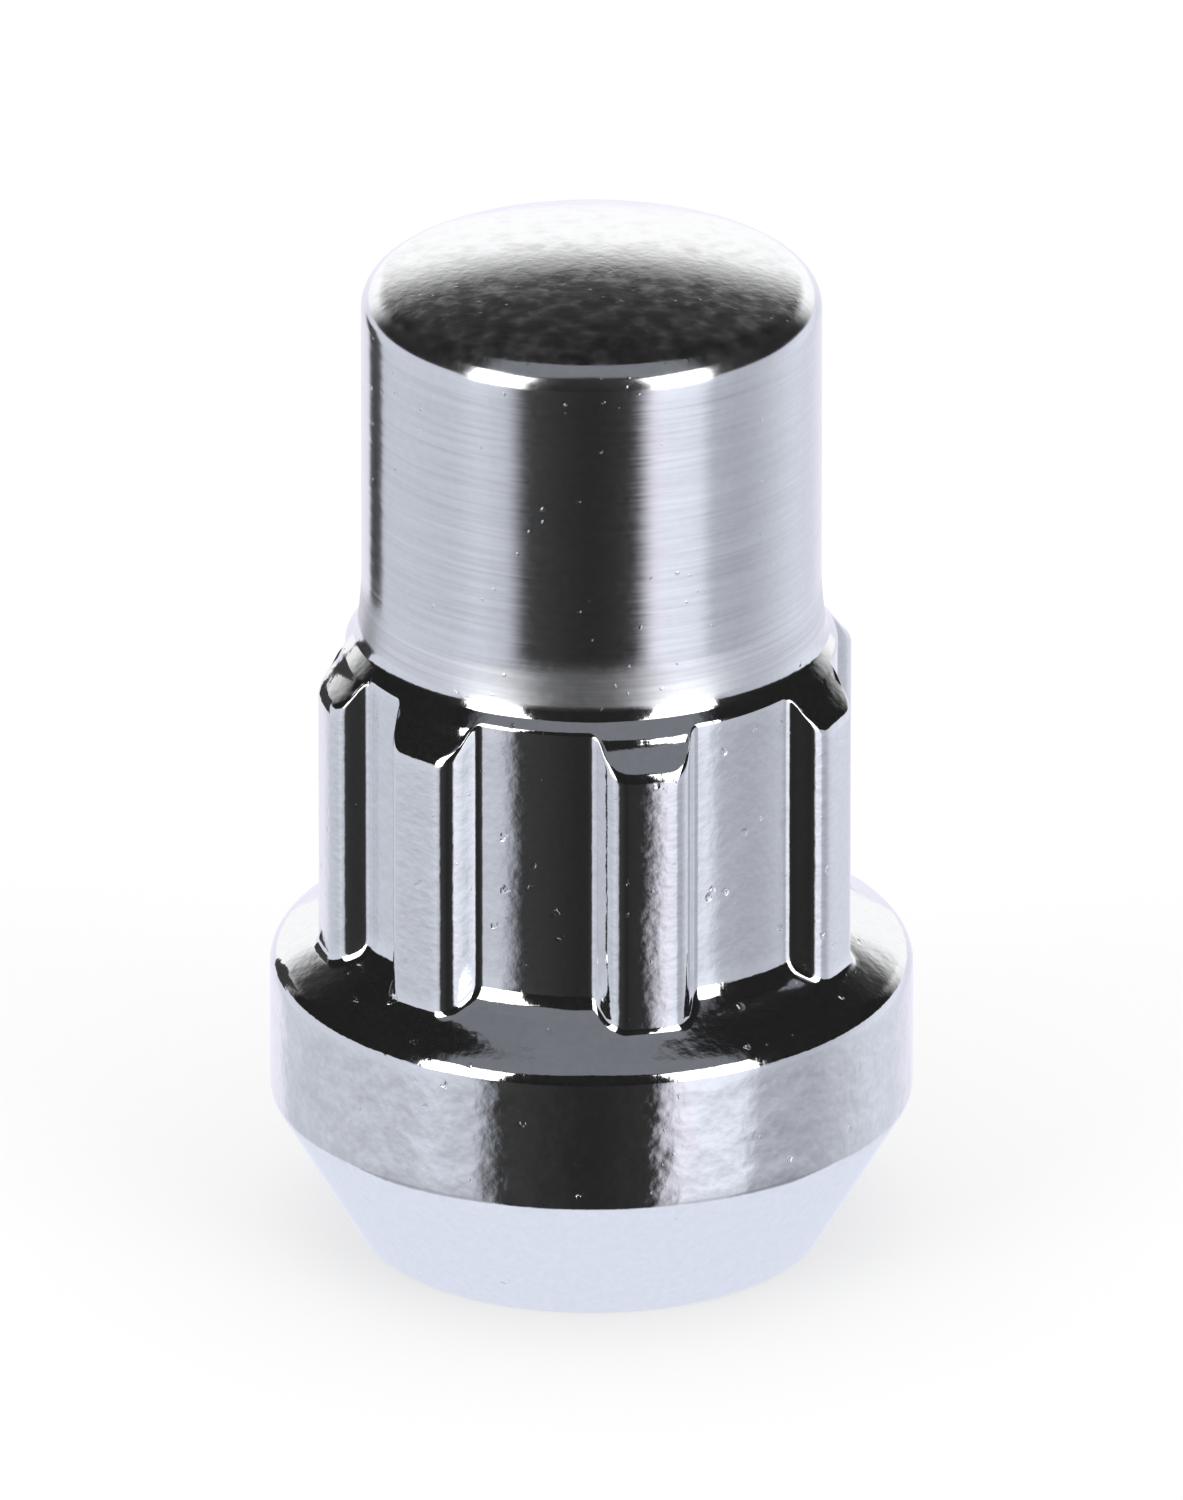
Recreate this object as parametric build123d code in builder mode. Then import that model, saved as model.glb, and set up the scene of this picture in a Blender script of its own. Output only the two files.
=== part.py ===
"""Locking wheel nut: a one-piece closed nut with a conical seat and a coded spline drive."""

import os
from math import radians, tan

from build123d import *

# Driving sizes, in millimetres and degrees. The nut stands on its seat end with its axis on Z.

# Thread and blind bore
thread_diameter = 14.0
thread_pitch = 1.5
mouth_land = 0.5
point_angle = 118.0
crown_metal = 4.6

# Conical seat and flange
seat_angle = 60.0
seat_height = 6.0
band_height = 5.7
top_slope = 29.0
flange_overhang = 1.8

# Spline drive
lobe_count = 7
lobe_height = 1.2
lobe_land = 2.8
flank_angle = 22.0
code_shift = 15.0
first_lobe = 282.4
drive_length = 12.4
shoulder_slope = 48.0

# Cap
cap_wall = 2.05
neck_step = 0.65
cap_length = 14.3
crown_rise = 1.2

# Edges
seat_edge = 0.5
rim_edge = 0.3
flange_edge = 0.9
crown_edge = 1.2
tip_round = 0.6
root_round = 0.5

# Radii, built outwards from the thread
bore_radius = (thread_diameter - 1.0825 * thread_pitch) / 2
cap_radius = thread_diameter / 2 + cap_wall
core_radius = (bore_radius + cap_radius) / 2
root_radius = cap_radius + neck_step
spline_radius = root_radius + lobe_height
flange_radius = spline_radius + flange_overhang
base_radius = flange_radius - seat_height * tan(radians(seat_angle / 2))
mouth_radius = thread_diameter / 2 + mouth_land

# Heights, built upwards from the seat end
band_top = seat_height + band_height
foot_height = band_top + (flange_radius - root_radius) * tan(radians(top_slope))
shoulder_height = foot_height + drive_length
crown_base = shoulder_height + cap_length
overall_length = crown_base + crown_rise
bore_end = overall_length - crown_metal
bore_depth = bore_end - bore_radius / tan(radians(point_angle / 2))
mouth_depth = mouth_radius - bore_radius

# Lobes stand at an even pitch, but the last but one is moved round to code the drive
lobe_angles = [first_lobe + n * 360 / lobe_count for n in range(lobe_count)]
lobe_angles[-2] += code_shift


def lobe_half_width(radius):
    """Half the width of a lobe, flank to flank, at a distance from the axis."""
    return lobe_land / 2 + (spline_radius - radius) * tan(radians(flank_angle))


def shoulder_at(radius):
    """Height of the sloping shoulder at a distance from the axis."""
    return shoulder_height - (radius - cap_radius) * tan(radians(shoulder_slope))


def flange_top_at(radius):
    """Height of the sloping top of the flange at a distance from the axis."""
    return band_top + (flange_radius - radius) * tan(radians(top_slope))


def from_axis(place):
    """Distance of a point from the axis."""
    return Vector(place.X, place.Y).length


def corner(profile, radius, height):
    """Corner of a turned profile at a distance from the axis and a height."""
    return profile.vertices().sort_by_distance((radius, height))[0]


with BuildPart() as wheel_nut:
    # Lobed bar: the coded section of the drive, drawn up to the full length
    with BuildSketch(Plane.XY.offset(seat_height)) as lobe_section:
        with Locations(*[Location((0, 0, 0), (0, 0, angle)) for angle in lobe_angles]):
            Polygon(
                (core_radius, -lobe_half_width(core_radius)),
                (flange_radius, -lobe_half_width(flange_radius)),
                (flange_radius, lobe_half_width(flange_radius)),
                (core_radius, lobe_half_width(core_radius)),
                align=None,
            )
        Circle(spline_radius, mode=Mode.INTERSECT)
        Circle(root_radius)
        tips = lobe_section.vertices().filter_by(lambda v: from_axis(v) > spline_radius - 0.01)
        fillet(tips, min(tip_round, lobe_land / 3, lobe_height * 0.6))
        roots = lobe_section.vertices().filter_by(lambda v: from_axis(v) < root_radius + 0.01)
        fillet(roots, min(root_round, lobe_height / 2))
    extrude(amount=overall_length - seat_height)

    # Cap, crown and sloping shoulder, turned from the top of the lobed bar
    with BuildSketch(Plane.XZ) as turned_profile:
        with BuildLine():
            Polyline(
                (0, overall_length),
                (0, seat_height),
                (spline_radius, seat_height),
                (spline_radius, shoulder_at(spline_radius)),
                (cap_radius, shoulder_height),
                (cap_radius, crown_base),
            )
            TangentArc((0, overall_length), (cap_radius, crown_base), tangent=(1, 0))
        make_face()
        chamfer(corner(turned_profile, spline_radius, shoulder_at(spline_radius)), rim_edge)
        fillet(corner(turned_profile, cap_radius, crown_base), crown_edge)
    revolve(axis=Axis.Z, mode=Mode.INTERSECT)

    # Flange and conical seat, turned on the foot of the drive
    with BuildSketch(Plane.XZ) as flange_profile:
        with BuildLine():
            Polyline(
                (0, 0),
                (base_radius, 0),
                (flange_radius, seat_height),
                (flange_radius, band_top),
                (core_radius, flange_top_at(core_radius)),
                (0, flange_top_at(core_radius)),
                close=True,
            )
        make_face()
        chamfer(corner(flange_profile, base_radius, 0), seat_edge)
        fillet(corner(flange_profile, flange_radius, band_top), flange_edge)
    revolve(axis=Axis.Z)

    # Blind bore at the minor diameter of the thread, countersunk at its mouth
    with BuildSketch(Plane.XZ) as bore_profile:
        with BuildLine():
            Polyline(
                (0, 0),
                (mouth_radius, 0),
                (bore_radius, mouth_depth),
                (bore_radius, bore_depth),
                (0, bore_end),
                close=True,
            )
        make_face()
    revolve(axis=Axis.Z, mode=Mode.SUBTRACT)

os.makedirs("parts", exist_ok=True)
wheel_nut.part.label = "wheel_nut"
export_step(wheel_nut.part, "parts/wheel_nut.step")
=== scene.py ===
"""Locking wheel nut in bright chrome on forged steel, standing on a white studio floor."""

from math import asin, atan2, cos, degrees, pi, radians, sin, sqrt, tan

import bpy
import numpy as np
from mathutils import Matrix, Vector, noise


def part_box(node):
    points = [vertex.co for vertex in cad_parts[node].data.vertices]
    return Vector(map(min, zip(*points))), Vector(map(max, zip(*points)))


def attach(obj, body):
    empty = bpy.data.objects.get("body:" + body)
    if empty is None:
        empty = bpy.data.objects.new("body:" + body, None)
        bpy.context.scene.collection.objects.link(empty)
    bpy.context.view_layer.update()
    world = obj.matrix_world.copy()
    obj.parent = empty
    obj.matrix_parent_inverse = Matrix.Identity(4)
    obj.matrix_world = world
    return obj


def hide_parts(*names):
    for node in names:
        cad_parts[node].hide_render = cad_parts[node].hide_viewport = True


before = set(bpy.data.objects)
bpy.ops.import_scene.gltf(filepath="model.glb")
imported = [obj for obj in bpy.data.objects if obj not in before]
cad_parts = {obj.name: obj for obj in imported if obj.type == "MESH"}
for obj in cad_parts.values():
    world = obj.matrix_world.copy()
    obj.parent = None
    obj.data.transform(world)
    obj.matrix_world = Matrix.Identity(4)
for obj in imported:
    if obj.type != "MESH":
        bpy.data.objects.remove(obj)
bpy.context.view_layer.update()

# Sizes are in millimetres and degrees, and meshes are scaled to metres when they are made
MM = 0.001
nut_low, nut_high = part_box("wheel_nut")
flange_radius = (nut_high.x - nut_low.x) / 2 / MM
overall_length = (nut_high.z - nut_low.z) / MM

# Cap with its domed crown, and the neck where it meets the sloping shoulder
crown_rise = 1.2
crown_edge = 1.2
cap_length = 14.3
flare_height = 2.2
flare = 0.15
neck_round = 1.25
neck_corner = 0.25
neck_turn = 27.0
neck_step = 0.65
shoulder_slope = 48.0

# Spline drive: even pitch, with one lobe moved round
lobe_count = 7
lobe_height = 1.2
lobe_land = 2.8
flank_angle = 22.0
tip_round = 0.95
root_round = 0.5
first_lobe = 282.4
moved_lobe = 5
code_shift = 15.0
valley_rim, lobe_rim = 0.3, 0.9
valley_foot, lobe_foot = 1.15, 0.5

# Small soft step across the top of each lobe, and how even shares of that top crowd onto it
step_drop = 0.13
step_width = 0.2
step_out = 0.25
even_shares = (0, 0.2, 0.75, 1)
crowded_shares = (0, 0.22, 0.48, 1)

# Flange and conical seat
flange_overhang = 1.8
top_slope = 29.0
flange_edge = 0.9
band_height = 5.7
seat_height = 6.0
seat_angle = 60.0
seat_corner = 0.55
base_edge = 0.45

# Blind bore and its right-hand thread; the three shares are of the thread's pitch
thread_radius = 7.0
thread_pitch = 1.5
thread_end = 27.5
thread_fade = 2.5
depth_share = 1.0825 / 2
crest_share = 1 / 4
flank_share = 5 / 16
mouth_radius = 7.5
mouth_margin = 0.5
point_angle = 118.0
crown_metal = 4.6

# Places that follow from the sizes above
spline_radius = flange_radius - flange_overhang
root_radius = spline_radius - lobe_height
cap_radius = root_radius - neck_step
bore_radius = thread_radius - thread_pitch * depth_share
crown_base = overall_length - crown_rise
shoulder_height = crown_base - cap_length
shoulder_up = 90 - shoulder_slope
band_top = seat_height + band_height
bore_end = overall_length - crown_metal
bore_depth = bore_end - bore_radius / tan(radians(point_angle / 2))
end_ring_radius = mouth_radius + mouth_margin

# Steps along each stretch of the mesh
columns_per_bore_column = 3
steps_around = {"land": 8, "tip": 8, "flank": 3, "root": 7, "valley": 13}
steps_down = {
    "dome": 14, "crown": 12, "cap": 18, "flare": 6, "neck": 6, "shoulder": 11, "rim": 7, "wall": 22,
    "foot": 8, "slope": 7, "edge": 9, "band": 10, "corner": 4, "cone": 12, "base": 6, "ring": 1,
}
thread_rows_per_pitch = 10
smooth_limit = 35.0

# Forged surfaces are not quite even: waves in the mesh, which die out towards the cap and the seat end
wave_depth = 0.008
wave_length = 2.6
wave_fade_above = 2.0
wave_fade_below = 4.0


def mix(first, second, share):
    """Value between two others."""
    return first + (second - first) * share


def arc(centre, radius, start, end, steps):
    """Points of a rounding, swept by its normal's elevation; a negative radius makes a hollow one."""
    sweep = np.radians(np.linspace(start, end, steps + 1))
    return np.stack([centre[0] + radius * np.cos(sweep), centre[1] + radius * np.sin(sweep)], axis=1)


def corner_centre(wall, cone_point, elevation, radius):
    """Centre of a rounding between an upright wall and a cone whose normal has that elevation."""
    normal = (cos(radians(elevation)), sin(radians(elevation)))
    reach = cone_point[0] * normal[0] + cone_point[1] * normal[1] - radius
    across = wall - radius
    return across, (reach - across * normal[0]) / normal[1]


def join(stretches):
    """One chain of points from a list of (points, steps), with straight runs filled in between them."""
    chain = [stretches[0][0]]
    for points, steps in stretches[1:]:
        start, end = chain[-1][-1], points[0]
        share = np.linspace(0, 1, steps + 1)[1:, None]
        chain.append(start + (end - start) * share)
        chain.append(points[1:])
    return np.concatenate(chain)


def crown_profile():
    """Domed crown, from beside the axis outward, and its rounded edge."""
    dome_radius = (cap_radius**2 + crown_rise**2) / (2 * crown_rise)
    dome_centre = overall_length - dome_radius
    edge_across = cap_radius - crown_edge
    edge_reach = dome_radius - crown_edge
    dome_end = asin(edge_across / edge_reach)
    edge_place = (edge_across, dome_centre + edge_reach * cos(dome_end))
    steps = steps_down["dome"]
    sweep = np.linspace(dome_end / steps, dome_end, steps)
    dome = np.stack([dome_radius * np.sin(sweep), dome_centre + dome_radius * np.cos(sweep)], axis=1)
    edge = arc(edge_place, crown_edge, 90 - degrees(dome_end), 0, steps_down["crown"])
    return np.concatenate([dome, edge[1:]])


def neck_profile():
    """Slight flare at the foot of the cap, and the hollow neck under it."""
    spare = neck_round - neck_corner
    turn = radians(neck_turn)
    corner_wall = cap_radius + flare + spare * (1 - cos(turn))
    corner_place = corner_centre(corner_wall, (cap_radius, shoulder_height), shoulder_up, -neck_corner)
    neck_place = (corner_place[0] + spare * cos(turn), corner_place[1] + spare * sin(turn))
    flare_tilt = degrees(atan2(2 * flare, flare_height))
    upper = arc(neck_place, -neck_round, flare_tilt, neck_turn, steps_down["neck"])
    lower = arc(corner_place, -neck_corner, neck_turn, shoulder_up, steps_down["neck"] // 2)
    down = np.linspace(0, 1, steps_down["flare"] + 1)
    across = mix(cap_radius, upper[0][0], down**2)
    flared = np.stack([across, upper[0][1] + flare_height * (1 - down)], axis=1)
    return np.concatenate([flared, upper[1:], lower[1:]])


def tongue_drop(across):
    """Drop of a lobe's top below the turned shoulder: a small soft step just outside the valleys."""
    share = np.clip((across - root_radius - step_out) / step_width + 0.5, 0, 1)
    return step_drop * share * share * (3 - 2 * share)


def shoulder_profile(wall, lobe_share, start):
    """Sloping shoulder from the neck outward, with the small step on the lobes, and the drive's rim."""
    rim = mix(valley_rim, lobe_rim, lobe_share)
    tongue_point = (cap_radius, shoulder_height - tongue_drop(wall - rim / 2))
    rim_centre = corner_centre(wall, tongue_point, shoulder_up, rim)
    rounded_rim = arc(rim_centre, rim, shoulder_up, 0, steps_down["rim"])
    even = np.linspace(0, 1, steps_down["shoulder"] + 1)[1:-1]
    crowded = np.interp(even, even_shares, crowded_shares)
    across = mix(start, rounded_rim[0][0], mix(even, crowded, lobe_share))
    cone_height = shoulder_height - (across - cap_radius) * tan(radians(shoulder_slope))
    tongue = np.stack([across, cone_height - tongue_drop(across)], axis=1)
    return tongue, rounded_rim


def flange_profile(wall, lobe_share):
    """Hollow rounding at the foot of the drive, and the flange's rounded upper edge."""
    foot = mix(valley_foot, lobe_foot, lobe_share)
    slope_up = 90 - top_slope
    slope_point = (flange_radius, band_top)
    foot_centre = corner_centre(wall, slope_point, slope_up, -foot)
    edge_centre = corner_centre(flange_radius, slope_point, slope_up, flange_edge)
    rounded_foot = arc(foot_centre, -foot, 0, slope_up, steps_down["foot"])
    rounded_edge = arc(edge_centre, flange_edge, slope_up, 0, steps_down["edge"])
    return rounded_foot, rounded_edge


def seat_profile():
    """Roundings at the upper and the lower end of the conical seat."""
    seat_down = -seat_angle / 2
    seat_point = (flange_radius, seat_height)
    upper_centre = corner_centre(flange_radius, seat_point, seat_down, seat_corner)
    normal = (cos(radians(seat_down)), sin(radians(seat_down)))
    reach = seat_point[0] * normal[0] + seat_point[1] * normal[1] - base_edge
    lower_centre = ((reach - base_edge * normal[1]) / normal[0], base_edge)
    upper = arc(upper_centre, seat_corner, 0, seat_down, steps_down["corner"])
    lower = arc(lower_centre, base_edge, seat_down, -90, steps_down["base"])
    return upper, lower


def outer_profile(wall):
    """Outside of the nut in one half plane, crown to seat end, where the drive has that radius."""
    lobe_share = (wall - root_radius) / lobe_height
    neck = neck_profile()
    tongue, rim = shoulder_profile(wall, lobe_share, neck[-1][0])
    foot, edge = flange_profile(wall, lobe_share)
    seat_upper, seat_lower = seat_profile()
    return join([
        (crown_profile(), 0),
        (neck, steps_down["cap"]),
        (tongue, 1),
        (rim, 1),
        (foot, steps_down["wall"]),
        (edge, steps_down["slope"]),
        (seat_upper, steps_down["band"]),
        (seat_lower, steps_down["cone"]),
        (np.array([[end_ring_radius, 0.0]]), steps_down["ring"]),
    ])


def half_lobe():
    """Section of one lobe from its middle to the valley: angles from the lobe's middle, and radii."""
    slant = radians(flank_angle)
    normal = np.array([sin(slant), cos(slant)])
    along = np.array([cos(slant), -sin(slant)])
    reach = (lobe_land / 2 + spline_radius * tan(slant)) * cos(slant)

    def rounding_centre(distance, offset):
        """Point at that distance from the axis, on a line beside the flank."""
        return normal * offset + along * sqrt(distance**2 - offset**2)

    def circle(sweep):
        """Unit directions at those angles."""
        return np.stack([np.cos(sweep), np.sin(sweep)], axis=1)

    tip_centre = rounding_centre(spline_radius - tip_round, reach - tip_round)
    root_centre = rounding_centre(root_radius + root_round, reach + root_round)
    tip_start = atan2(tip_centre[1], tip_centre[0])
    flank_way = atan2(normal[1], normal[0])
    root_end = atan2(root_centre[1], root_centre[0])

    land = spline_radius * circle(np.linspace(0, tip_start, steps_around["land"] // 2 + 1))
    tip_sweep = np.linspace(tip_start, flank_way, steps_around["tip"] + 1)[1:]
    tip = tip_centre + tip_round * circle(tip_sweep)
    root_sweep = np.linspace(flank_way, root_end, steps_around["root"] + 1)
    root = root_centre - root_round * circle(root_sweep)
    share = np.linspace(0, 1, steps_around["flank"] + 1)[1:-1, None]
    flank = tip[-1] + (root[0] - tip[-1]) * share
    outline = np.concatenate([land, tip, flank, root])
    return np.arctan2(outline[:, 1], outline[:, 0]), np.hypot(outline[:, 0], outline[:, 1])


def drive_section():
    """Angles and wall radii of all the columns round the drive."""
    angles, radii = half_lobe()
    middles = [first_lobe + n * 360 / lobe_count for n in range(lobe_count)]
    middles[moved_lobe] += code_shift
    around, walls = [], []
    for n, middle in enumerate(middles):
        here = radians(middle)
        after = radians(middles[(n + 1) % lobe_count]) + (2 * pi if n == lobe_count - 1 else 0)
        around += [here - angles[:0:-1], here + angles]
        walls += [radii[:0:-1], radii]
        valley = np.linspace(here + angles[-1], after - angles[-1], steps_around["valley"] + 1)[1:-1]
        around.append(valley)
        walls.append(np.full(len(valley), root_radius))
    return np.concatenate(around), np.concatenate(walls)


def thread_depth(angles, height):
    """Depth of the thread's groove, beyond the bore's wall: flat crests and roots, straight flanks."""
    turn = (height / thread_pitch - angles / (2 * pi)) % 1
    from_root = np.abs(turn - 0.5)
    groove = np.clip((0.5 - crest_share / 2 - from_root) / flank_share, 0, 1)
    run_out = np.clip((thread_end - height) / thread_fade, 0, 1)
    return groove * (thread_radius - bore_radius) * run_out


def ring(angles, radii, height):
    """Points of one ring of the mesh."""
    heights = np.broadcast_to(height, angles.shape)
    return np.stack([radii * np.cos(angles), radii * np.sin(angles), heights], axis=1)


def strip(first, second, count):
    """Faces between two rings of equal count, given the number of each ring's first point."""
    here = np.arange(count)
    there = (here + 1) % count
    return np.stack([first + here, second + here, second + there, first + there], axis=1).tolist()


def outside_shell(angles, walls):
    """Points and faces of the outside, from the middle of the crown to the seat end."""
    count = len(angles)
    profiles = np.stack([outer_profile(wall) for wall in walls], axis=1)
    points = [np.array([[0, 0, overall_length]])]
    points += [ring(angles, row[:, 0], row[:, 1]) for row in profiles]
    faces = [[0, 1 + n, 1 + (n + 1) % count] for n in range(count)]
    for row in range(len(profiles) - 1):
        faces += strip(1 + row * count, 1 + (row + 1) * count, count)
    return np.concatenate(points), faces


def end_ring(first_outer, outer_count, first_inner):
    """Faces of the flat ring at the seat end, where several outer columns meet each bore column."""
    step = columns_per_bore_column
    inner_count = outer_count // step
    faces = []
    for n in range(inner_count):
        outer = [first_outer + (n * step + k) % outer_count for k in range(step + 1)]
        faces.append(outer[::-1] + [first_inner + n, first_inner + (n + 1) % inner_count])
    return faces


def bore_shell(angles, first):
    """Points and faces of the threaded bore, from its countersunk mouth to the drill point."""
    count = len(angles)
    rows = int(round(thread_end / thread_pitch * thread_rows_per_pitch))
    heights = [*np.linspace(0, thread_end, rows + 1), bore_depth]
    points, faces = [], []
    for height in heights:
        threaded = bore_radius + thread_depth(angles, height)
        points.append(ring(angles, np.maximum(threaded, mouth_radius - height), height))
    for row in range(len(heights) - 1):
        faces += strip(first + row * count, first + (row + 1) * count, count)
    drill_point = first + len(heights) * count
    top_ring = drill_point - count
    points.append(np.array([[0, 0, bore_end]]))
    faces += [[top_ring + n, drill_point, top_ring + (n + 1) % count] for n in range(count)]
    return np.concatenate(points), faces


def roughen(mesh, outside_count):
    """Makes the forged flange and drive slightly uneven; the turned cap and the seat end stay true."""
    places = np.empty(len(mesh.vertices) * 3)
    normals = np.empty(len(mesh.vertices) * 3)
    mesh.vertices.foreach_get("co", places)
    mesh.vertices.foreach_get("normal", normals)
    places = places.reshape(-1, 3) / MM
    normals = normals.reshape(-1, 3)
    outside = places[:outside_count]
    waves = np.array([noise.noise(Vector(place) / wave_length) for place in outside])
    below_cap = np.clip((shoulder_height - outside[:, 2]) / wave_fade_above, 0, 1)
    above_end = np.clip(outside[:, 2] / wave_fade_below, 0, 1)
    room = flange_radius - np.hypot(outside[:, 0], outside[:, 1])
    push = np.minimum(waves * wave_depth * (below_cap * above_end), room)
    outside += normals[:outside_count] * push[:, None]
    mesh.vertices.foreach_set("co", (places * MM).ravel())
    mesh.update()


def make_nut():
    """The whole nut as one closed mesh: outside, seat end, threaded bore and drill point."""
    angles, walls = drive_section()
    outside, outside_faces = outside_shell(angles, walls)
    end_faces = end_ring(len(outside) - len(angles), len(angles), len(outside))
    bore, bore_faces = bore_shell(angles[::columns_per_bore_column], len(outside))
    faces = outside_faces + end_faces + bore_faces

    mesh = bpy.data.meshes.new("nut_body")
    mesh.from_pydata((np.concatenate([outside, bore]) * MM).tolist(), [], faces)
    mesh.materials.append(chrome_material())
    mesh.materials.append(bore_material())
    in_bore = np.zeros(len(faces), dtype=np.int32)
    in_bore[-len(bore_faces):] = 1
    mesh.polygons.foreach_set("material_index", in_bore)
    mesh.polygons.foreach_set("use_smooth", np.ones(len(faces), dtype=bool))
    mesh.update()
    roughen(mesh, len(outside))
    mesh.set_sharp_from_angle(angle=radians(smooth_limit))
    nut = bpy.data.objects.new("nut_body", mesh)
    bpy.context.scene.collection.objects.link(nut)
    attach(nut, "root")
    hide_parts("wheel_nut")


def add(tree, kind, inputs=None, **settings):
    """New shader node with its settings, and its inputs given as values or as sockets to link."""
    made = tree.nodes.new("ShaderNode" + kind)
    for name, value in settings.items():
        setattr(made, name, value)
    for key, value in (inputs or {}).items():
        if isinstance(value, bpy.types.NodeSocket):
            tree.links.new(value, made.inputs[key])
        else:
            made.inputs[key].default_value = value
    return made


def new_material(name):
    """Empty node material with its output."""
    material = bpy.data.materials.new(name)
    material.use_nodes = True
    tree = material.node_tree
    tree.nodes.clear()
    return material, tree, tree.nodes.new("ShaderNodeOutputMaterial")


def number(tree, operation, *values, clamp=False):
    """Result of arithmetic on numbers."""
    return add(tree, "Math", dict(enumerate(values)), operation=operation, use_clamp=clamp).outputs[0]


def times(tree, first, second):
    """Product of two numbers."""
    return number(tree, "MULTIPLY", first, second)


def times_plus(tree, first, second, third, clamp=False):
    """Product of two numbers, with a third added; the clamp holds it between 0 and 1."""
    return number(tree, "MULTIPLY_ADD", first, second, third, clamp=clamp)


def inverse(tree, share):
    """What a share leaves of 1."""
    return number(tree, "SUBTRACT", 1.0, share)


def fade(tree, value, start, end):
    """Share that goes from 0 to 1 as a value goes from one limit to another."""
    limits = {0: value, 1: start, 2: end}
    return add(tree, "MapRange", limits, interpolation_type="SMOOTHSTEP").outputs[0]


def arrow(tree, operation, *values):
    """Result of arithmetic on vectors."""
    return add(tree, "VectorMath", dict(enumerate(values)), operation=operation).outputs[0]


def scaled(tree, vector, amount):
    """Vector times a number."""
    return add(tree, "VectorMath", {0: vector, "Scale": amount}, operation="SCALE").outputs[0]


def blend_colour(tree, share, first, second, way="MIX"):
    """Colour between two others, or blended in another way."""
    inputs = {0: share, 6: first, 7: second}
    return add(tree, "Mix", inputs, data_type="RGBA", blend_type=way).outputs[2]


def grain(tree, place, pattern):
    """Noise about zero in the object's own space, by a pattern's ripples per millimetre and detail."""
    per_mm, detail = pattern
    stretched = arrow(tree, "MULTIPLY", place, [count / MM for count in per_mm])
    made = add(tree, "TexNoise", {"Vector": stretched, "Scale": 1.0, "Detail": detail})
    return number(tree, "SUBTRACT", made.outputs[0], 0.5)


# Patterns of noise in the metal: ripples per millimetre along x, y and z, and detail
ripple_pattern = (0.8, 0.8, 0.8), 1.5
peel_pattern = (3.2, 3.2, 3.2), 2.0
nick_pattern = (1.6, 1.6, 3.4), 1.0
cloud_pattern = (1.3, 1.3, 1.3), 6.0
side_line_pattern = (0.16, 0.16, 9.0), 1.5
rise_line_pattern = (0.22, 0.22, 5.5), 1.0
# Lines of the painted reflection streaks along the turning marks
painted_streak_pattern = (0.1, 0.1, 8.0), 2.0
bore_mark_pattern = (0.5, 0.5, 6.0), 3.0
bore_patch_pattern = (0.25, 0.25, 0.25), 2.0

# Heights, or radii for the lobes, between which each finish of the chrome fades in
crown_from = (crown_base - 0.5, crown_base + 0.2)
cap_from = (shoulder_height - 0.5, shoulder_height + 0.6)
ring_from = (shoulder_height + 0.05, shoulder_height + 0.3)
ring_to = (shoulder_height + 2.4, shoulder_height + 1.3)
drive_from = (band_top + 1.2, band_top + 2.4)
drive_to = (shoulder_height - 1.2, shoulder_height - 1.9)
lobes_from = (root_radius + 0.5, spline_radius - 0.1)
band_from = (seat_height - 0.6, seat_height + 0.4)
band_to = (band_top - 0.4, band_top - 1.2)

# Relief of the chrome's skin: its full height, each mark's share of that, and what some places add
relief_height = 0.022
ripple_relief = 0.65
ripple_on_band = 1.0
ripple_on_crown = -0.4
peel_relief = 0.24
nick_relief = 0.28
pit_relief = -0.9
pit_on_crown = 0.75
speck_relief = 0.15
speck_on_turned = 0.3

# Pits and specks lie in strewn cells; a size is a share of a cell, and a rarity near 1 leaves few
cells_per_mm = 2.1
cell_wobble = 0.5
wobble_way = (1, -1, 1)
spot_core = 0.35
pit_size, pit_rarity, pit_spread = 0.42, 0.965, 0.02
speck_size, speck_rarity, speck_spread = 0.2, 0.83, 0.05

# How far the turning marks tip the surface, to the side and up
side_tip = 0.035
rise_tip = 0.085

# Roughness of the chrome, and what each finish adds
plain_roughness = 0.07
peel_roughness = 0.07
ring_roughness = 0.2
turned_roughness = 0.08
cloud_roughness = 0.17
cloud_limits = (-0.2, 0.25)

# Colour of the chrome: a shine between dull and bright, mottled, with painted reflection streaks along
# the turning marks and the crown painted brighter
dull_chrome = (0.80, 0.805, 0.825, 1)
bright_chrome = (0.985, 0.99, 1.0, 1)
plain_shine = 0.65
# Painted light: the crown's colour is raised so that its reflection of the wall looks whiter
painted_crown_brightening = 0.3
shine_on_turned = -0.12
mottle_depth = 0.6
mottle_on_turned = -0.1
mottle_on_band = 0.5
patches_on_band = 1.2
# Streaks along the turning marks are painted light and dark reflection lines, strongest on the lowest
# ring
painted_streak_depth = 0.6
painted_streak_on_ring = 1.6

# Duller steel in the bore
dull_bore = (0.27, 0.25, 0.22, 1)
bright_bore = (0.43, 0.42, 0.40, 1)
bore_shine = 0.5
bore_patches = 1.2
bore_roughness = 0.34
bore_mark_roughness = 0.2
bore_relief_height = 0.02
bore_relief = 0.6


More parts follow.
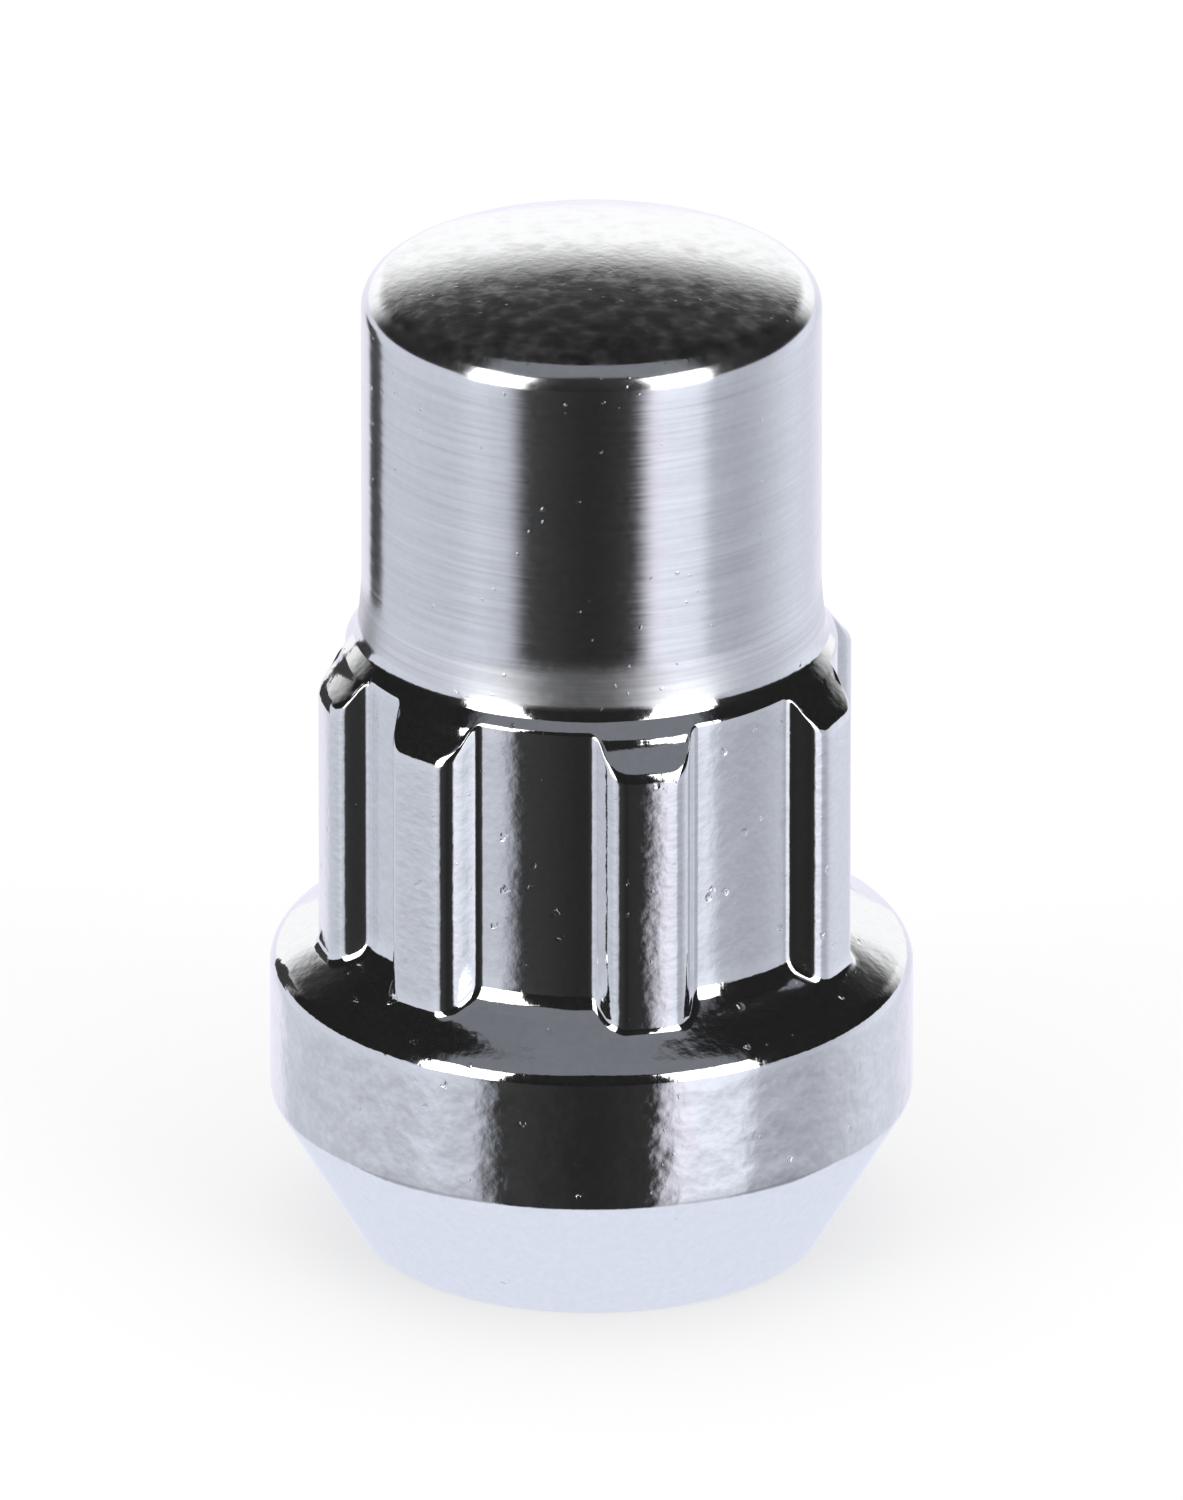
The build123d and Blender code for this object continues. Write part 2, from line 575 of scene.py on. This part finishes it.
def finish_zones(tree, place):
    """Shares, from 0 to 1, that say where each finish of the chrome lies."""
    side, depth, height = add(tree, "SeparateXYZ", {0: place}).outputs
    flat = add(tree, "CombineXYZ", {0: side, 1: depth}).outputs[0]
    radius = add(tree, "VectorMath", {0: flat}, operation="LENGTH").outputs["Value"]

    def fade_mm(value, limits):
        """Fade between two limits in millimetres."""
        return fade(tree, value, limits[0] * MM, limits[1] * MM)

    crown = fade_mm(height, crown_from)
    turned = times(tree, fade_mm(height, cap_from), inverse(tree, crown))
    drive = times(tree, fade_mm(height, drive_from), fade_mm(height, drive_to))
    return {
        "crown": crown,
        "turned": turned,
        "forged": inverse(tree, turned),
        "ring": times(tree, fade_mm(height, ring_from), fade_mm(height, ring_to)),
        "lobes": times(tree, drive, fade_mm(radius, lobes_from)),
        "band": times(tree, fade_mm(height, band_to), fade_mm(height, band_from)),
    }


def strewn_cells(tree, place, peel):
    """Cells strewn through the metal: distance to the nearest middle, and its chances from 0 to 1."""
    offset = scaled(tree, wobble_way, times(tree, peel, cell_wobble * MM))
    moved = arrow(tree, "ADD", place, offset)
    cells = add(tree, "TexVoronoi", {"Vector": moved, "Scale": cells_per_mm / MM, "Randomness": 1.0})
    chances = add(tree, "SeparateColor", {0: cells.outputs["Color"]}).outputs
    return cells.outputs["Distance"], chances


def spots(tree, distance, chance, size, rarity, spread):
    """Small round spots in some of the cells, 1 at their middles."""
    spot = fade(tree, distance, size, size * spot_core)
    return times(tree, spot, fade(tree, chance, rarity, rarity + spread))


def skin_normal(tree, place, zones, ripple, peel):
    """Normal of the skin: soft ripples, fine peel, nicks on the lobes, and small pits and specks."""
    uneven = times_plus(tree, zones["band"], ripple_on_band, ripple_relief)
    ripple_depth = times_plus(tree, zones["crown"], ripple_on_crown, uneven)
    lumps = times(tree, ripple, ripple_depth)
    skin = times_plus(tree, peel, peel_relief, lumps)
    nicks = times(tree, grain(tree, place, nick_pattern), zones["lobes"])
    nicked = times_plus(tree, nicks, nick_relief, skin)
    distance, chances = strewn_cells(tree, place, peel)
    pits = spots(tree, distance, chances[1], pit_size, pit_rarity, pit_spread)
    pit_depth = times_plus(tree, zones["crown"], pit_on_crown, pit_relief)
    pitted = times_plus(tree, pits, pit_depth, nicked)
    specks = spots(tree, distance, chances[0], speck_size, speck_rarity, speck_spread)
    speck_height = times_plus(tree, zones["turned"], speck_on_turned, speck_relief)
    relief = times_plus(tree, pitted, zones["forged"], times(tree, specks, speck_height))
    bump = add(tree, "Bump", {"Height": relief, "Distance": relief_height * MM, "Strength": 1.0})
    return bump.outputs[0]


def turned_normal(tree, place, zones, normal):
    """Normal with turning marks: each line tips the surface a little to one side, and up or down."""
    side_lines = times(tree, grain(tree, place, side_line_pattern), zones["turned"])
    rise_lines = times(tree, grain(tree, place, rise_line_pattern), zones["turned"])
    sideways = arrow(tree, "CROSS_PRODUCT", (0, 0, 1), normal)
    to_side = scaled(tree, sideways, times(tree, side_lines, side_tip))
    upward = add(tree, "CombineXYZ", {2: times(tree, rise_lines, rise_tip)}).outputs[0]
    tipped = arrow(tree, "ADD", normal, arrow(tree, "ADD", to_side, upward))
    return arrow(tree, "NORMALIZE", tipped)


def chrome_roughness(tree, place, zones, peel):
    """Roughness: uneven with the peel, more on the cap and most on its lowest ring; a clouded crown."""
    smear = times_plus(tree, peel, peel_roughness, plain_roughness)
    worn = times_plus(tree, zones["ring"], ring_roughness, smear)
    brushed = times_plus(tree, zones["turned"], turned_roughness, worn)
    cloud = fade(tree, grain(tree, place, cloud_pattern), *cloud_limits)
    return times_plus(tree, times(tree, cloud, zones["crown"]), cloud_roughness, brushed)


def chrome_colour(tree, place, zones, ripple, peel):
    """Colour: a slight mottle, strongest round the band, painted reflection streaks along the turning
    marks, and the crown painted brighter.
    """
    # Painted light: the crown is painted brighter so that its reflection looks whiter
    shine_with_painted_crown = times_plus(tree, zones["crown"], painted_crown_brightening, plain_shine)
    shine = times_plus(tree, zones["turned"], shine_on_turned, shine_with_painted_crown)
    patchy = times_plus(tree, times(tree, ripple, zones["band"]), patches_on_band, shine)
    turned_depth = times_plus(tree, zones["turned"], mottle_on_turned, mottle_depth)
    peel_depth = times_plus(tree, zones["band"], mottle_on_band, turned_depth)
    mottled = times_plus(tree, peel, peel_depth, patchy)
    # Painted reflection: light and dark lines in the colour along the turning marks
    streaks = times(tree, grain(tree, place, painted_streak_pattern), zones["turned"])
    painted_streak_depth_here = times_plus(tree, zones["ring"], painted_streak_on_ring, painted_streak_depth)
    mottle_and_painted_sheen = times_plus(tree, streaks, painted_streak_depth_here, mottled, clamp=True)
    return blend_colour(tree, mottle_and_painted_sheen, dull_chrome, bright_chrome)


def chrome_material():
    """Bright chrome plate: turned lines on the cap, a clouded crown, and forged skin below."""
    material, tree, output = new_material("chrome")
    place = add(tree, "TexCoord").outputs["Object"]
    zones = finish_zones(tree, place)
    ripple = grain(tree, place, ripple_pattern)
    peel = grain(tree, place, peel_pattern)
    skin = skin_normal(tree, place, zones, ripple, peel)
    surface = add(tree, "BsdfPrincipled", {
        "Base Color": chrome_colour(tree, place, zones, ripple, peel),
        "Metallic": 1.0,
        "Roughness": chrome_roughness(tree, place, zones, peel),
        "Normal": turned_normal(tree, place, zones, skin),
    })
    tree.links.new(surface.outputs[0], output.inputs[0])
    return material


def bore_material():
    """Thinly plated steel in the bore, duller than the outside and smeared along the thread."""
    material, tree, output = new_material("bore_steel")
    place = add(tree, "TexCoord").outputs["Object"]
    marks = grain(tree, place, bore_mark_pattern)
    patches = grain(tree, place, bore_patch_pattern)
    shade = times_plus(tree, patches, bore_patches, bore_shine, clamp=True)
    bump = add(tree, "Bump", {
        "Height": marks, "Distance": bore_relief_height * MM, "Strength": bore_relief,
    })
    surface = add(tree, "BsdfPrincipled", {
        "Base Color": blend_colour(tree, shade, dull_bore, bright_bore),
        "Metallic": 1.0,
        "Roughness": times_plus(tree, marks, bore_mark_roughness, bore_roughness),
        "Normal": bump.outputs[0],
    })
    tree.links.new(surface.outputs[0], output.inputs[0])
    return material


# Floor, and a small dark card behind the nut
white = (1.0, 1.0, 1.0, 1)
paper_white = (0.93, 0.93, 0.935, 1)
card_black = (0.04, 0.04, 0.04, 1)
glow_share = 0.5
floor_reach = 1500.0
floor_gap = 0.02
flag_bearing = -140.0
flag_place = (-41.0, 33.8)
flag_width = 15.0
flag_low, flag_high = 6.0, 30.0

# Softboxes: their radiance is what a mirror shows of them
lamp_elevation = 16
lamp_distance = 600
lamp_height = 510
lamp_radiance = 2.2

# Camera
camera_elevation = 24.1
camera_distance = 1600.0
camera_aim = (0, 0, 20.2)
frame_height = 59.4

# Tints of the studio: dark levels are neutral, middle ones cool and the brightest a little violet
neutral_tint = (1.0, 1.0, 1.0)
cool_tint = (1.0, 1.04, 1.16)
bright_tint = (1.0, 0.985, 1.1)
neutral_below, bright_above = 0.08, 0.8
near_floor = (0.755, 0.79, 0.9, 1)
room_dark = (0.013, 0.013, 0.013, 1)
ceiling_level = 0.18

# What polished metal sees of the floor, by bearing from the front: dark where the camera stands
floor_seen = [
    (-180, 0.9), (-152, 0.84), (-139, 0.6), (-120, 0.55), (-76, 0.53), (-58, 0.6), (-44.5, 0.53),
    (-32.2, 0.04), (0, 0.021), (21, 0.03), (33, 0.84), (42, 0.79), (54, 0.75), (65, 0.43), (78, 0.4),
    (130, 0.66), (180, 0.9),
]
# What it sees of the wall behind, by elevation
wall_seen = [(0, 1.0), (16, 1.0), (30, 0.06), (36, 0.03), (50, 0.014)]

# Pools of light on the floor each side: bearings where they begin and end, and how they rise towards
# the horizon from the level at which upright walls mirror the floor
pool_from = (24, 32)
pool_to = (150, 110)
pool_slope = 3.2
pool_level = 0.41
pool_darkest, pool_brightest = 0.7, 1.16

# Elevations between which the floor turns to its near colour, and in front to the dark room
steep_from = (-42, -60)
steep_behind_from = (-24, -34)
front_gap_from = (-9, -1)

# The rest is by the parts of a direction: depth to the back, ahead to the front, and rise
behind_from = (0.0, 0.2)
ahead_from = (0.3, 0.6)
wall_from = (0.58, 0.86)
horizon_from = (-0.02, 0.02)
ceiling_width, ceiling_spread = 0.44, 0.62
ceiling_edge = (-0.1, 0.06)
ceiling_bow = 0.3
ceiling_from = (0.76, 0.81)
ceiling_to = (0.24, 0.16)


def floor_material():
    """White paper that keeps the nut's shadow, and is clear when it is looked at from below."""
    material, tree, output = new_material("floor_paper")
    material.use_transparent_shadow = False
    paper = add(tree, "BsdfDiffuse", {"Color": paper_white})
    glow = add(tree, "Emission", {"Color": white, "Strength": 1.0})
    looked_at = times(tree, add(tree, "LightPath").outputs["Is Camera Ray"], glow_share)
    lit = add(tree, "MixShader", {0: looked_at, 1: paper.outputs[0], 2: glow.outputs[0]})
    below = add(tree, "NewGeometry").outputs["Backfacing"]
    clear = add(tree, "BsdfTransparent")
    both = add(tree, "MixShader", {0: below, 1: lit.outputs[0], 2: clear.outputs[0]})
    tree.links.new(both.outputs[0], output.inputs[0])
    return material


def make_floor():
    """Pale floor, a hair below the seat end. Metal sees the studio's own floor colours instead."""
    edge = floor_reach * MM
    mesh = bpy.data.meshes.new("floor")
    corners = ((-edge, -edge), (edge, -edge), (edge, edge), (-edge, edge))
    mesh.from_pydata([(x, y, -floor_gap * MM) for x, y in corners], [], [[0, 1, 2, 3]])
    mesh.materials.append(floor_material())
    floor = bpy.data.objects.new("floor", mesh)
    floor.visible_glossy = False
    bpy.context.scene.collection.objects.link(floor)


def make_flag():
    """Small dark card behind the nut on the left that edges the cap with a dark line."""
    material, tree, output = new_material("flag_card")
    card = add(tree, "BsdfDiffuse", {"Color": card_black})
    tree.links.new(card.outputs[0], output.inputs[0])
    way = radians(flag_bearing)
    middle = Vector((flag_place[0], flag_place[1], 0))
    side = Vector((cos(way), sin(way), 0)) * flag_width / 2
    corners = [middle - side, middle + side, middle + side, middle - side]
    heights = [flag_low, flag_low, flag_high, flag_high]
    points = [(corner.x * MM, corner.y * MM, height * MM) for corner, height in zip(corners, heights)]
    mesh = bpy.data.meshes.new("flag")
    mesh.from_pydata(points, [], [[0, 1, 2, 3]])
    mesh.materials.append(material)
    flag = bpy.data.objects.new("flag", mesh)
    flag.visible_camera = False
    flag.visible_diffuse = False
    flag.visible_shadow = False
    bpy.context.scene.collection.objects.link(flag)


def make_lamp(name, bearing, width):
    """Rectangular softbox aimed at the nut, at a bearing from the front."""
    data = bpy.data.lights.new(name, "AREA")
    data.shape = "RECTANGLE"
    data.size = width * MM
    data.size_y = lamp_height * MM
    data.energy = lamp_radiance * pi * data.size * data.size_y
    lamp = bpy.data.objects.new(name, data)
    way = radians(bearing)
    flat = lamp_distance * cos(radians(lamp_elevation))
    rise = lamp_distance * sin(radians(lamp_elevation))
    place = Vector((flat * sin(way), -flat * cos(way), rise))
    target = Vector((0, 0, overall_length / 2))
    lamp.location = (place + target) * MM
    lamp.rotation_euler = place.to_track_quat("Z", "Y").to_euler()
    lamp.visible_camera = False
    bpy.context.scene.collection.objects.link(lamp)


def grey(level, tint=cool_tint):
    """Grey of that level, with a tint."""
    return (*[level * share for share in tint], 1)


def floor_grey(level):
    """Grey with the tint that its level has in the studio."""
    if level < neutral_below:
        return grey(level, neutral_tint)
    if level > bright_above:
        return grey(level, bright_tint)
    return grey(level)


def level_ramp(tree, place, stops):
    """Colours along a line of places from 0 to 1."""
    ramp = add(tree, "ValToRGB", {0: place})
    ramp.color_ramp.interpolation = "EASE"
    marks = ramp.color_ramp.elements
    made = [marks[0], *[marks.new(0.5) for _ in stops[2:]], marks[-1]]
    for mark, (position, colour) in zip(made, stops):
        mark.position = position
        mark.color = colour
    return ramp.outputs[0]


def between(tree, rise, elevations):
    """Share of the way from one elevation to another."""
    first, second = elevations
    return fade(tree, rise, sin(radians(first)), sin(radians(second)))


def seen_floor(tree, across, depth, ahead, rise):
    """Floor as polished metal sees it: levels by bearing, pools of light, near colour and front gap."""
    bearing = number(tree, "ARCTAN2", across, ahead)
    turn = times_plus(tree, bearing, 1 / (2 * pi), 0.5)
    stops = [((way + 180) / 360, floor_grey(level)) for way, level in floor_seen]
    floor = level_ramp(tree, turn, stops)

    from_front = number(tree, "ABSOLUTE", bearing)
    pool_begins = fade(tree, from_front, *np.radians(pool_from))
    pool = times(tree, pool_begins, fade(tree, from_front, *np.radians(pool_to)))
    farther = number(tree, "ADD", rise, pool_level)
    lift = times_plus(tree, times(tree, pool, farther), pool_slope, 1.0)
    held = add(tree, "Clamp", {0: lift, 1: pool_darkest, 2: pool_brightest}).outputs[0]
    floor = blend_colour(tree, 1.0, floor, held, "MULTIPLY")

    behind = fade(tree, depth, *behind_from)
    near_behind = times(tree, behind, between(tree, rise, steep_behind_from))
    near = number(tree, "MAXIMUM", between(tree, rise, steep_from), near_behind)
    floor = blend_colour(tree, near, floor, near_floor)
    front_gap = times(tree, fade(tree, ahead, *ahead_from), between(tree, rise, front_gap_from))
    return blend_colour(tree, front_gap, floor, room_dark)


def seen_room(tree, across, depth, ahead, rise):
    """Dark room as polished metal sees it, with a white wall behind and a dim ceiling."""
    stops = [(sin(radians(elevation)), grey(level, neutral_tint)) for elevation, level in wall_seen]
    wall = level_ramp(tree, rise, stops)
    room = blend_colour(tree, fade(tree, depth, *wall_from), room_dark, wall)
    aside = number(tree, "ABSOLUTE", across)
    width = times_plus(tree, ahead, ceiling_spread, ceiling_width)
    inside = number(tree, "SUBTRACT", width, aside)
    bowed = times_plus(tree, aside, ceiling_bow, rise)
    overhead = times(tree, fade(tree, bowed, *ceiling_from), fade(tree, depth, *ceiling_to))
    ceiling = times(tree, fade(tree, inside, *ceiling_edge), overhead)
    return blend_colour(tree, ceiling, room, grey(ceiling_level))


def make_world():
    """White all round; polished metal sees the floor, a white wall behind and a dark room."""
    world = bpy.data.worlds.new("studio")
    bpy.context.scene.world = world
    world.use_nodes = True
    tree = world.node_tree
    tree.nodes.clear()
    output = tree.nodes.new("ShaderNodeOutputWorld")
    way = add(tree, "TexCoord").outputs["Generated"]
    across, depth, rise = add(tree, "SeparateXYZ", {0: way}).outputs
    ahead = times(tree, depth, -1.0)
    floor = seen_floor(tree, across, depth, ahead, rise)
    room = seen_room(tree, across, depth, ahead, rise)
    seen = blend_colour(tree, fade(tree, rise, *horizon_from), floor, room)

    glossy = add(tree, "LightPath").outputs["Is Glossy Ray"]
    plain = add(tree, "Background", {"Color": white, "Strength": 1.0})
    painted = add(tree, "Background", {"Color": seen, "Strength": 1.0})
    shine = add(tree, "MixShader", {0: glossy, 1: plain.outputs[0], 2: painted.outputs[0]})
    tree.links.new(shine.outputs[0], output.inputs[0])


def make_camera():
    """Long lens at the photograph's angle, framing the nut."""
    elevation = radians(camera_elevation)
    data = bpy.data.cameras.new("camera")
    data.lens = data.sensor_width * camera_distance / frame_height
    data.clip_start = 0.05
    data.clip_end = 10.0
    camera = bpy.data.objects.new("camera", data)
    place = Vector((0, -cos(elevation), sin(elevation))) * camera_distance
    camera.location = place * MM
    camera.rotation_euler = (place - Vector(camera_aim)).to_track_quat("Z", "Y").to_euler()
    bpy.context.scene.collection.objects.link(camera)
    bpy.context.scene.camera = camera


make_nut()
make_floor()
make_flag()
make_lamp("left_softbox", bearing=-46.4, width=313)
make_lamp("right_softbox", bearing=44.4, width=340)
make_world()
make_camera()
bpy.context.scene.view_settings.view_transform = "Standard"
